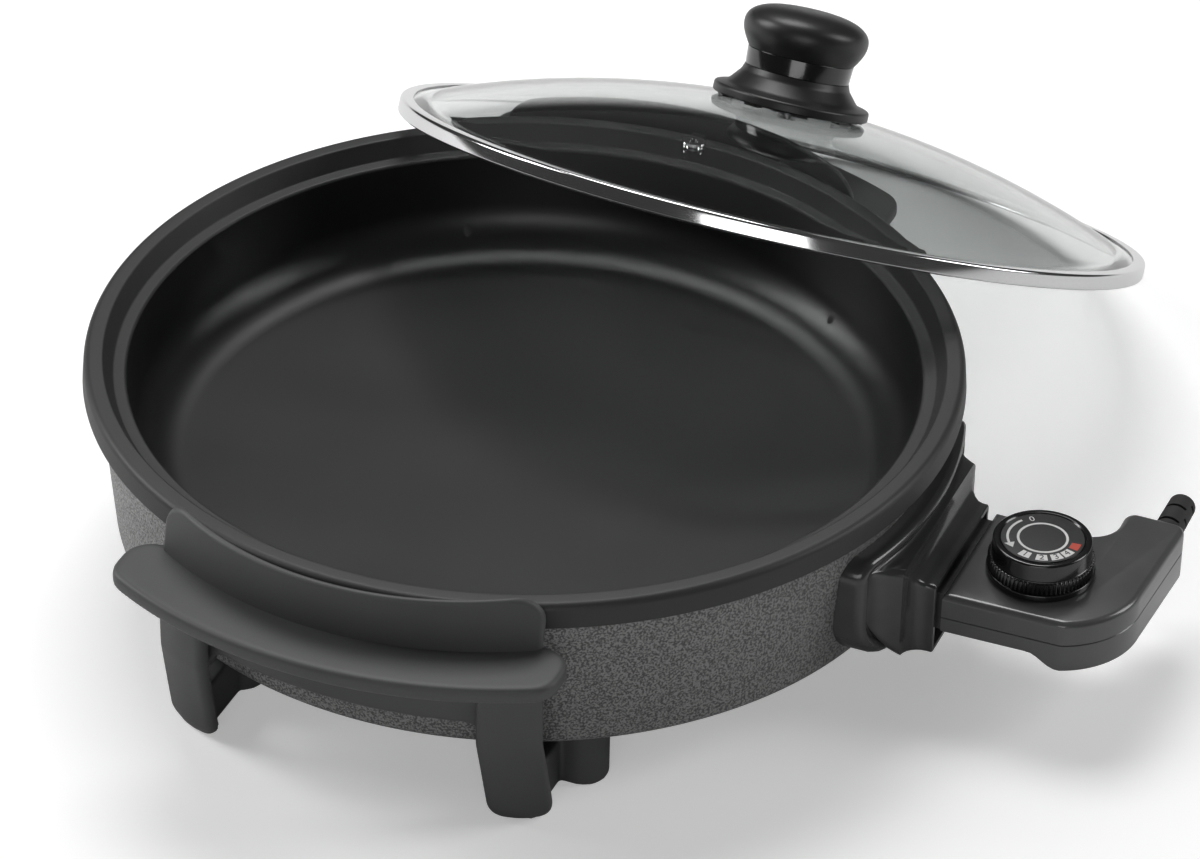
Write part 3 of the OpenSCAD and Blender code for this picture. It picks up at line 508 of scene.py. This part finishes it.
def slab(outline, low, high, low_r, high_r, parts=5):
    """A slab of an outline whose upper and lower edges are rounded."""
    rings = []
    for k in range(parts + 1):
        a = math.radians(90 * k / parts)
        z = low + low_r * (1 - math.cos(a))
        rings.append([(x, y, z) for x, y in inset(outline, low_r * (1 - math.sin(a)))])
    for k in range(parts + 1):
        a = math.radians(90 * k / parts)
        z = high - high_r * (1 - math.sin(a))
        rings.append([(x, y, z) for x, y in inset(outline, high_r * (1 - math.cos(a)))])
    return lofted(rings)


def arc(cx, cy, r, start, end, parts):
    return [
        (cx + r * math.cos(math.radians(start + (end - start) * k / parts)),
         cy + r * math.sin(math.radians(start + (end - start) * k / parts)))
        for k in range(parts + 1)
    ]


wall_gap_r = 204.2
corner_x, corner_r = 95.5, 14
corner_y = -30 - math.sqrt((221 - corner_r) ** 2 - corner_x ** 2)
turn = math.degrees(math.atan2(corner_y + 30, corner_x))
inner_a = math.degrees(math.asin(193 / wall_gap_r))
right_side = arc(0, -30, 221, -90, turn, 40) + arc(corner_x, corner_y, corner_r, turn, 0, 14)[1:]
right_side += arc(corner_x, -193 - corner_r, corner_r, 0, 90, 10) + arc(0, 0, wall_gap_r, -inner_a, -90, 34)[:-1]
shelf_outline = right_side + [(-x, y) for x, y in right_side[::-1]][1:-1]


def apron_low(x):
    if abs(x) < 58:
        return 56
    return 44 + math.sqrt(max(0, 12 ** 2 - (abs(x) - 58) ** 2))


foot_r, lean_top_z = 10, 50
leg_cos, leg_sin = math.cos(math.radians(25)), math.sin(math.radians(25))


def leg_ring(z, side):
    """One level of a leg, with its crowned front and the rounding towards its foot."""
    drawn = 0.8 * (foot_r - math.sqrt(foot_r ** 2 - max(0, foot_r - z) ** 2))
    high, front, r = 15.1 - drawn, -3.25 + drawn * 0.3, 3
    points = [(high, 3.25), (-high, 3.25)] + arc(r - high, front + r, r, 180, 250, 6)
    points += [(r - high + (high - r) * k / 4, front - 1.2 * math.sin(math.pi * k / 8)) for k in range(1, 8)]
    points += arc(high - r, front + r, r, 290, 360, 6)
    low = max(0, 1 - z / lean_top_z)
    x_at, y_at = 81.75 + 1.25 * low, -203.5 + 12.5 * low
    return [(side * (x_at + x * leg_cos - y * leg_sin), y_at + x * leg_sin + y * leg_cos, z) for x, y in points]


def post_ring(r, z, oval=True):
    """One level of a post: round inside, and outside drawn out towards the middle."""
    ring = []
    for k in range(48):
        a = math.radians(7.5 * k + 3.75)
        x = 80 if oval and math.cos(a) < 0 else post_x
        ring.append((x + r * math.cos(a), -post_y + r * math.sin(a), z))
    return ring


handle_shells = [slab(shelf_outline, 94, 102, 1.6, 2.6)]
apron = []
for k in range(81):
    x = -80 + 2 * k
    low = apron_low(x)
    apron.append([(x, -math.sqrt(r * r - x * x), z) for r, z in
                  ((wall_gap_r, low), (213, low), (214, low + 1), (214, 96), (wall_gap_r, 96))])
handle_shells.append(lofted(apron))
bar = rounded([(75.5, 0, 1), (89, 0, 1), (89, 24.5, 1.5), (75.5, 24.5, 1.5)], True, 30)
for side in (-1, 1):
    handle_shells.append(lofted([leg_ring(z, side)
                                 for z in (0.3, 0.6, 1, 1.8, 3, 4.5, 6.2, 8, 10, 20, 30, 40, 50, 70, 96)]))
    handle_shells.append(lofted([[(side * x, y, z) for x, z in bar] for y in (-192, -146)]))
    post = [post_ring(2.8, 42, False), post_ring(2.8, 13, False), post_ring(6, 13, False), post_ring(6, 0, False),
            post_ring(11.2, 0), post_ring(12, 0.8), post_ring(12, 41.2), post_ring(11.4, 42)]
    handle_shells.append(lofted([[(side * x, y, z) for x, y, z in ring] for ring in post], closed=True))


def fused(piece, voxel, rounds):
    """Joins a piece's shells into one skin with softly blended corners."""
    remesh = piece.modifiers.new("join", "REMESH")
    remesh.mode = "VOXEL"
    remesh.voxel_size = voxel / 1000
    soften = piece.modifiers.new("soften", "SMOOTH")
    soften.factor = 0.5
    soften.iterations = rounds
    bpy.context.view_layer.update()
    skin = bpy.data.meshes.new_from_object(piece.evaluated_get(bpy.context.evaluated_depsgraph_get()))
    piece.modifiers.clear()
    piece.data = skin
    for face in skin.polygons:
        face.use_smooth = True
    return piece


to_rear = Matrix.Rotation(math.pi, 4, "Z")
front = fused(make("front_handle_moulding", handle_shells, "base", [handle_coat],
                   ["front_handle"]), 1.1, 5)
rear_skin = front.data.copy()
rear_skin.transform(to_rear)
rear = bpy.data.objects.new("rear_handle_moulding", rear_skin)
scene.collection.objects.link(rear)
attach(rear, "base")
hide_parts("rear_handle")


# The heat guards are separate arcs of the same moulding, screwed down on the shelves. They lean out
# a little and have round upper corners and a full round edge.


guard_half, guard_corner_r, guard_top_z = 94, 14, 127
guard_foot_z = 102.05


def guard_top(x):
    run = abs(x) - (guard_half - guard_corner_r)
    if run < 0:
        return guard_top_z
    return guard_top_z - guard_corner_r + math.sqrt(max(0, guard_corner_r ** 2 - run ** 2))


def guard_mid(x, z):
    """The guard's middle surface: a wide arc at its foot that draws in to a tighter one at the top."""
    up = (z - 102) / 25
    return 45 + 28.5 * up + math.sqrt((177.4 - 29 * up) ** 2 - x * x)


def guard_ring(x, thin=1.0):
    """A section through the guard where it crosses x, with a full round edge along its top."""
    half, top = 2 * thin, guard_top(x)
    edge = [(-half, guard_foot_z), (-half, (102 + top) / 2), (-half, top - half)]
    edge += [(-half * math.cos(math.radians(a)), top - half + half * math.sin(math.radians(a)))
             for a in range(15, 166, 15)]
    edge += [(half, top - half), (half, (102 + top) / 2), (half, guard_foot_z)]
    return [(x, -guard_mid(x, z) - out, z) for out, z in edge]


stations = [-94 + 1.5 * (1 - math.cos(math.radians(a))) for a in (0, 20, 40, 60, 90)]
stations = [(x, max(0.12, math.sin(math.radians(a)))) for x, a in zip(stations, (0, 20, 40, 60, 90))]
stations += [(-92.5 + 12.5 * (1 - math.cos(math.radians(a))), 1) for a in range(10, 91, 8)]
stations += [(-80 + 160 * k / 60, 1) for k in range(1, 60)]
left_end = [(x, t) for x, t in stations if x < -79]
stations += [(-x, t) for x, t in reversed(left_end)]
guard = lofted([guard_ring(x, t) for x, t in stations])
guard_boss = rounded([(0, guard_foot_z), (4, guard_foot_z), (4, 114, 1), (0, 114)])
bosses = [turned(guard_boss, 32, at=(x, -45 - math.sqrt(173.6 ** 2 - x * x))) for x in (-50, 0, 50)]
for name, place in (("front", None), ("rear", to_rear)):
    make(f"{name}_guard_moulding", [guard] + bosses, "base", [handle_coat],
         [f"{name}_heat_guard"], place=place)
finish(zinc, "handle_screws", "guard_screws")


# The lid is a dome of tempered glass in a rolled and polished stainless band. A small riveted eyelet
# lets the steam out. It leans on the rear guard, with its edge on the table.

on_lid = (
    Matrix.Translation(Vector((36.2, 230.9, 86.6)) / 1000)
    @ Matrix.Rotation(math.radians(-4.0), 4, "Z") @ Matrix.Rotation(math.radians(-26.4), 4, "X")
)
glass = Coat("tempered_glass", base_color=(0.93, 0.955, 0.945), roughness=0.0, ior=1.5)
glass.set("Transmission Weight", 1.0)


def cap_points(r, low, top):
    """A spherical cap from its edge up to its middle."""
    ball = (r * r + (top - low) ** 2) / (2 * (top - low))
    reach = math.asin(r / ball)
    return [(ball * math.sin(reach * k / 30), top - ball * (1 - math.cos(reach * k / 30)))
            for k in range(30, -1, -1)]


dome, under = cap_points(187.5, 7, 44.5), cap_points(183.5, 3, 40.5)
hole_r = 5.5
dome = [p for p in dome if p[0] > hole_r] + [(hole_r, 44.5)]
under = [(hole_r, 40.5)] + [p for p in under if p[0] > hole_r][::-1]
lid_section = [(194.2, 3)] + rounded([(194.2, 3), (194.2, 7, 1.2), (188.4, 7)]) + dome[1:] + under
make("lid_dome", [turned(lid_section, 288)], "lid", [glass], ["lid_glass"],
     place=on_lid, sharp=60)

polished = Coat("polished_steel", metallic=1.0)
hair = polished.noise(900, 2, 0.5)
polished.set("Base Color", polished.mix(hair, (0.66, 0.66, 0.665), (0.74, 0.74, 0.745)))
polished.set("Roughness", 0.09 + hair * 0.05)
band_section = rounded([
    (191.0, 0.2), (195.2, 0, 1.2), (195.2, 8, 1.6), (188.5, 8.3, 0.25), (188.5, 7.15), (194.3, 7.15), (194.3, 0.9),
    (191.0, 0.9),
])
make("lid_band_rolled", [turned(band_section, 360)], "lid", [polished], ["lid_band"],
     place=on_lid)
finish(polished, "steam_vent")


# The knob is a stepped phenolic turning held by one screw through the glass: a wide skirt on small
# spacers, a glossy band, and a cushion-shaped cap.

knob_coat = Coat("satin_black_phenolic")
knob_grain = knob_coat.noise(2400, 3, 0.6)
knob_coat.set("Base Color", knob_coat.mix(knob_grain, (0.010, 0.010, 0.0105), (0.022, 0.022, 0.022)))
knob_coat.set("Roughness", 0.32 + knob_grain * 0.12)
knob_coat.bump(knob_grain, 0.05, 0.5)

skirt_section = rounded([
    (0, 47.6), (37, 47.6), (37, 45, 0.4), (40.5, 45, 1.0), (40.5, 50, 1.6), (34.0, 51.6, 6), (28.3, 58.4, 5),
    (27.2, 61.6), (0, 61.6),
], step=6)
tabs = []
for k in range(9):
    a = math.radians(20 + 40 * k)
    out, across = Vector((math.cos(a), math.sin(a), 0)), Vector((-math.sin(a), math.cos(a), 0))
    tabs.append(lofted([
        [tuple(out * r + across * w + Vector((0, 0, z))) for r, w in ((33, -4), (38, -4), (38, 4), (33, 4))]
        for z in (43.75, 48)
    ]))
make("knob_skirt_turning", [turned(skirt_section, 144)] + tabs, "lid", [knob_coat], ["knob_skirt"],
     place=on_lid)

gloss_black = Coat("gloss_black_plastic", coat_weight=0.4, coat_roughness=0.05)
sheen_drift = gloss_black.noise(50, 3, 0.5)
gloss_black.set("Base Color", gloss_black.mix(sheen_drift, (0.006, 0.006, 0.007), (0.012, 0.012, 0.013)))
gloss_black.set("Roughness", 0.14 + sheen_drift * 0.06)
band_profile = rounded([(0, 61.65), (27.0, 61.65, 0.4), (27.6, 70.95, 0.4), (0, 70.95)])
make("knob_band_turning", [turned(band_profile, 144)], "lid", [gloss_black], ["knob_band"],
     place=on_lid)

cap = [(0, 71), (27.4, 71)]
cap += [(27.4 + 4.95 * math.sin(math.radians(90 * t / 14)), 71 + 12 * t / 14) for t in range(1, 15)]
cap += [(32.35 * math.cos(math.radians(a)) ** 0.7, 83 + 12 * math.sin(math.radians(a)) ** 0.85)
        for a in range(5, 86, 5)] + [(0, 95)]
make("knob_cap_turning", [turned(cap, 144)], "lid", [knob_coat], ["knob_cap"], place=on_lid)

rubber = Coat("matt_rubber")
dust = rubber.noise(800, 3, 0.6)
rubber.set("Base Color", rubber.mix(dust, (0.010, 0.010, 0.010), (0.024, 0.024, 0.024)))
rubber.set("Roughness", 0.6 + dust * 0.2)
rubber.bump(dust, 0.05, 0.5)
finish(rubber, "knob_gasket")
finish(zinc, "knob_washer", "knob_screw")


# The control plug is two halves of glossy black moulding, screwed together from below. It holds the
# switch and the probe, and its tail turns back along the pan to where the cord goes in.

plug_coat = Coat("plug_gloss_black", coat_weight=0.5, coat_roughness=0.1)
plug_flow = plug_coat.noise(45, 4, 0.6)
plug_grain = plug_coat.noise(2600, 2, 0.5)
plug_coat.set("Base Color", plug_coat.mix(plug_flow, (0.060, 0.060, 0.061), (0.086, 0.086, 0.087)))
plug_coat.set("Roughness", 0.24 + plug_flow * 0.08 + plug_grain * 0.04)
plug_coat.bump(plug_grain, 0.02, 0.3)

plug_outline = [(228, -37.5)] + arc(269.6, 3.2, 42.5, -67, 0, 24)
plug_outline += arc(308.8, 58, 6, 0, 90, 8) + arc(291, 58, 6, 90, 180, 8) + arc(270, 52, 15, 0, -90, 12)
plug_outline += [(228, 37.5)]


def underside(x):
    """Height of the plug's underside: it steps down from the shallow front to the tail."""
    t = max(0, min(1, (x - 270) / 14))
    return 45 - 6.5 * t * t * (3 - 2 * t)


def fine(outline, longest=3.0):
    """The same outline with its long runs divided."""
    points = []
    for a, b in zip(outline, outline[1:] + outline[:1]):
        parts = max(1, math.ceil(math.dist(a, b) / longest))
        points += [(a[0] + (b[0] - a[0]) * k / parts, a[1] + (b[1] - a[1]) * k / parts) for k in range(parts)]
    return points


plug_outline = fine(plug_outline)
top_rings = []
for z, d in [(53.5, 0.35), (53.9, 0), (62.8, 0)]:
    top_rings.append([(x, y, z) for x, y in inset(plug_outline, d)])
for k in range(1, 7):
    a = math.radians(90 * k / 6)
    top_rings.append([(x, y, 62.8 + 3.2 * math.sin(a)) for x, y in inset(plug_outline, 3.2 * (1 - math.cos(a)))])
low_rings = [[(x, y, 53.45) for x, y in inset(plug_outline, 0.35)], [(x, y, 53.05) for x, y in plug_outline]]
for k in range(0, 6):
    a = math.radians(90 * k / 5)
    low_rings.append([(x, y, underside(x) + 1.6 * (1 - math.sin(a)))
                      for x, y in inset(plug_outline, 1.6 * (1 - math.cos(a)))])
tops = [(296.2, 0.2), (303.6, -2.2), (304.6, 3.2)]
wedge = lofted([[(x, y, z) for x, y in level] for z, level in
                ((65.5, tops), (66.4, inset(tops, 0)), (66.6, inset(tops, 0.25)))])


def carved(piece, shells):
    """Takes shells of points away from a piece."""
    mesh = bpy.data.meshes.new("cutter")
    work = bmesh.new()
    for verts, faces in shells:
        made = [work.verts.new(Vector(v) / 1000) for v in verts]
        for face in faces:
            work.faces.new([made[i] for i in face])
    bmesh.ops.recalc_face_normals(work, faces=work.faces)
    work.to_mesh(mesh)
    work.free()
    cutter = bpy.data.objects.new("cutter", mesh)
    scene.collection.objects.link(cutter)
    take = piece.modifiers.new("carve", "BOOLEAN")
    take.operation, take.solver, take.object = "DIFFERENCE", "EXACT", cutter
    bpy.context.view_layer.update()
    skin = bpy.data.meshes.new_from_object(piece.evaluated_get(bpy.context.evaluated_depsgraph_get()))
    piece.modifiers.clear()
    piece.data = skin
    bpy.data.objects.remove(cutter)
    skin.set_sharp_from_angle(angle=math.radians(38))


upper = make("plug_upper_moulding", [lofted(top_rings), wedge], "plug", [plug_coat],
             ["plug_upper_shell"], sharp=60)
lower = make("plug_lower_moulding", [lofted(low_rings[::-1])], "plug", [plug_coat],
             ["plug_lower_shell"], sharp=60)
grips = []
for x in (265, 270.5, 276):
    slot = [(x + 1.3 * math.cos(math.radians(a)), z + 1.3 * math.sin(math.radians(a)))
            for z, first in ((58, 0), (48.5, 180)) for a in range(first, first + 181, 20)]
    grips.append(lofted([[(px, y, pz) for px, pz in slot] for y in (-36.4, -40)]))
carved(upper, grips)
carved(lower, grips)
finish(phenolic, "contact_block")

probe_steel = Coat("probe_steel", metallic=1.0)
rub = probe_steel.noise(500, 2, 0.5)
probe_steel.set("Base Color", probe_steel.mix(rub, (0.52, 0.52, 0.53), (0.66, 0.66, 0.67)))
probe_steel.set("Roughness", 0.25 + rub * 0.12)
finish(probe_steel, "temperature_probe")
finish(zinc, "shell_screws")

relief_x, relief_z = 304, 56
sleeve = rounded([(3.6, 59), (4.9, 59), (4.9, 64.4), (7, 64.4, 0.5), (6.6, 93, 1.2), (3.6, 93)],
                 closed=True, step=20)
on_tail = Matrix.Translation(Vector((relief_x, 0, relief_z)) / 1000) @ Matrix.Rotation(math.radians(-90), 4, "X")
relief = make("strain_relief_sleeve", [turned(sleeve, 64)], "plug", [rubber], ["strain_relief"],
              place=on_tail)
slots = []
for k in range(4):
    a, y = math.radians((130, -50)[k % 2]), 69.7 + 5.9 * k
    out, across = Vector((math.cos(a), 0, math.sin(a))), Vector((-math.sin(a), 0, math.cos(a)))
    slots.append(lofted([[tuple(Vector((relief_x, y + w, relief_z)) + out * p + across * q)
                          for p, q in ((0.7, -8), (9, -8), (9, 8), (0.7, 8))] for w in (0, 1.8)]))
carved(relief, slots)


# The dial is a glossy black turning knob on the switch's spindle: a plain foot, a ring of fine grip
# ribs and a raised top, with a marked disc let into it.

on_plug = Matrix.Translation((0.263, 0, 0))
rib_count = 72
rib_root_r, rib_h = 24.0, 1.1
dial_section = rounded([(0, 66.35), (25.6, 66.35, 0.5), (25.6, 69.6, 0.6), (24.3, 69.6)])
grip = []
for z, out in ((69.4, 0), (70.0, 1), (75.2, 1), (75.9, 0)):
    level_ring = []
    for k in range(rib_count * 6):
        a = math.radians(360 * k / (rib_count * 6))
        wave = 0.5 + 0.5 * math.cos(rib_count * a)
        r = rib_root_r + rib_h * wave ** 0.6 * out
        level_ring.append((r * math.cos(a), r * math.sin(a), z))
    grip.append(level_ring)
cap_section = rounded([(0, 69.5), (24.0, 69.5), (24.0, 76.2, 0.4), (23.7, 76.5), (23.3, 85, 1.2), (20.6, 85, 0.4),
                       (19.9, 84.4), (0, 84.4)], step=12)
make("dial_turning", [turned(dial_section + [(0, 69.6)], 144), lofted(grip), turned(cap_section, 144)], "dial",
     [gloss_black], ["dial"], place=on_plug, sharp=40)

disc_coat = Coat("disc_black", coat_weight=0.2)
brushed = disc_coat.noise(700, 3, 0.6)
disc_coat.set("Base Color", disc_coat.mix(brushed, (0.012, 0.012, 0.013), (0.030, 0.030, 0.032)))
disc_coat.set("Roughness", 0.3 + brushed * 0.15)
make("dial_disc_plate", [turned(rounded([(0, 84.45), (19.5, 84.45), (19.5, 84.9, 0.15), (0, 84.9)]), 96)], "dial",
     [disc_coat], ["dial_disc"], place=on_plug)


print_low, print_top = 84.88, 84.96


def ring_patch(r_in, r_out, start, end):
    """A thin printed patch on the disc, between two radii and two angles."""
    parts = max(2, math.ceil(abs(end - start) / 4))
    section = [(r_in, print_low), (r_out, print_low), (r_out, print_top), (r_in, print_top)]
    return turned(section, parts, sweep=(start, end))


white_print = Coat("white_print", roughness=0.5)
ink = white_print.noise(1500, 2, 0.6)
white_print.set("Base Color", white_print.mix(ink, (0.62, 0.62, 0.61), (0.74, 0.74, 0.73)))
red_print = Coat("red_print", roughness=0.5)
red_ink = red_print.noise(1500, 2, 0.6)
red_print.set("Base Color", red_print.mix(red_ink, (0.42, 0.045, 0.025), (0.55, 0.07, 0.04)))
boxes = [(-102, "1"), (-73, "2"), (-48, "3"), (-26, "4")]
marks = [turned([(10.9, print_low), (12.1, print_low), (12.1, print_top), (10.9, print_top)], 96)]
marks += [ring_patch(13.7, 18.2, a - 9.5, a + 9.5) for a, _ in boxes]
marks += [ring_patch(15.8, 17.0, 145, 218)]
tip = [(r * math.cos(math.radians(a)), r * math.sin(math.radians(a)))
       for r, a in ((13.8, 217), (18.8, 217), (16.4, 231))]
marks.append(lofted([[(x, y, z) for x, y in tip] for z in (print_low, print_top)]))
make("dial_marks", marks, "dial", [white_print], place=on_plug)
make("dial_red_mark", [ring_patch(13.7, 18.2, -11, 7)], "dial", [red_print], place=on_plug)

for a, digit in boxes + [(128, "0")]:
    curve = bpy.data.curves.new(f"number_{digit}", "FONT")
    curve.body = digit
    curve.size = 0.0052
    curve.align_x, curve.align_y = "CENTER", "CENTER"
    curve.extrude = 0.00003
    sketch = bpy.data.objects.new(f"number_{digit}_sketch", curve)
    scene.collection.objects.link(sketch)
    bpy.context.view_layer.update()
    figure = bpy.data.meshes.new_from_object(sketch)
    bpy.data.objects.remove(sketch)
    figure.materials.clear()
    figure.materials.append((white_print if digit == "0" else disc_coat).material)
    spot = on_plug @ Matrix.Rotation(math.radians(a), 4, "Z")
    figure.transform(spot @ Matrix.Translation((0.0159, 0, 0.08499)) @ Matrix.Rotation(math.radians(90), 4, "Z"))
    number = bpy.data.objects.new(f"dial_number_{digit}", figure)
    scene.collection.objects.link(number)
    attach(number, "dial")
finish(zinc, "dial_spindle")
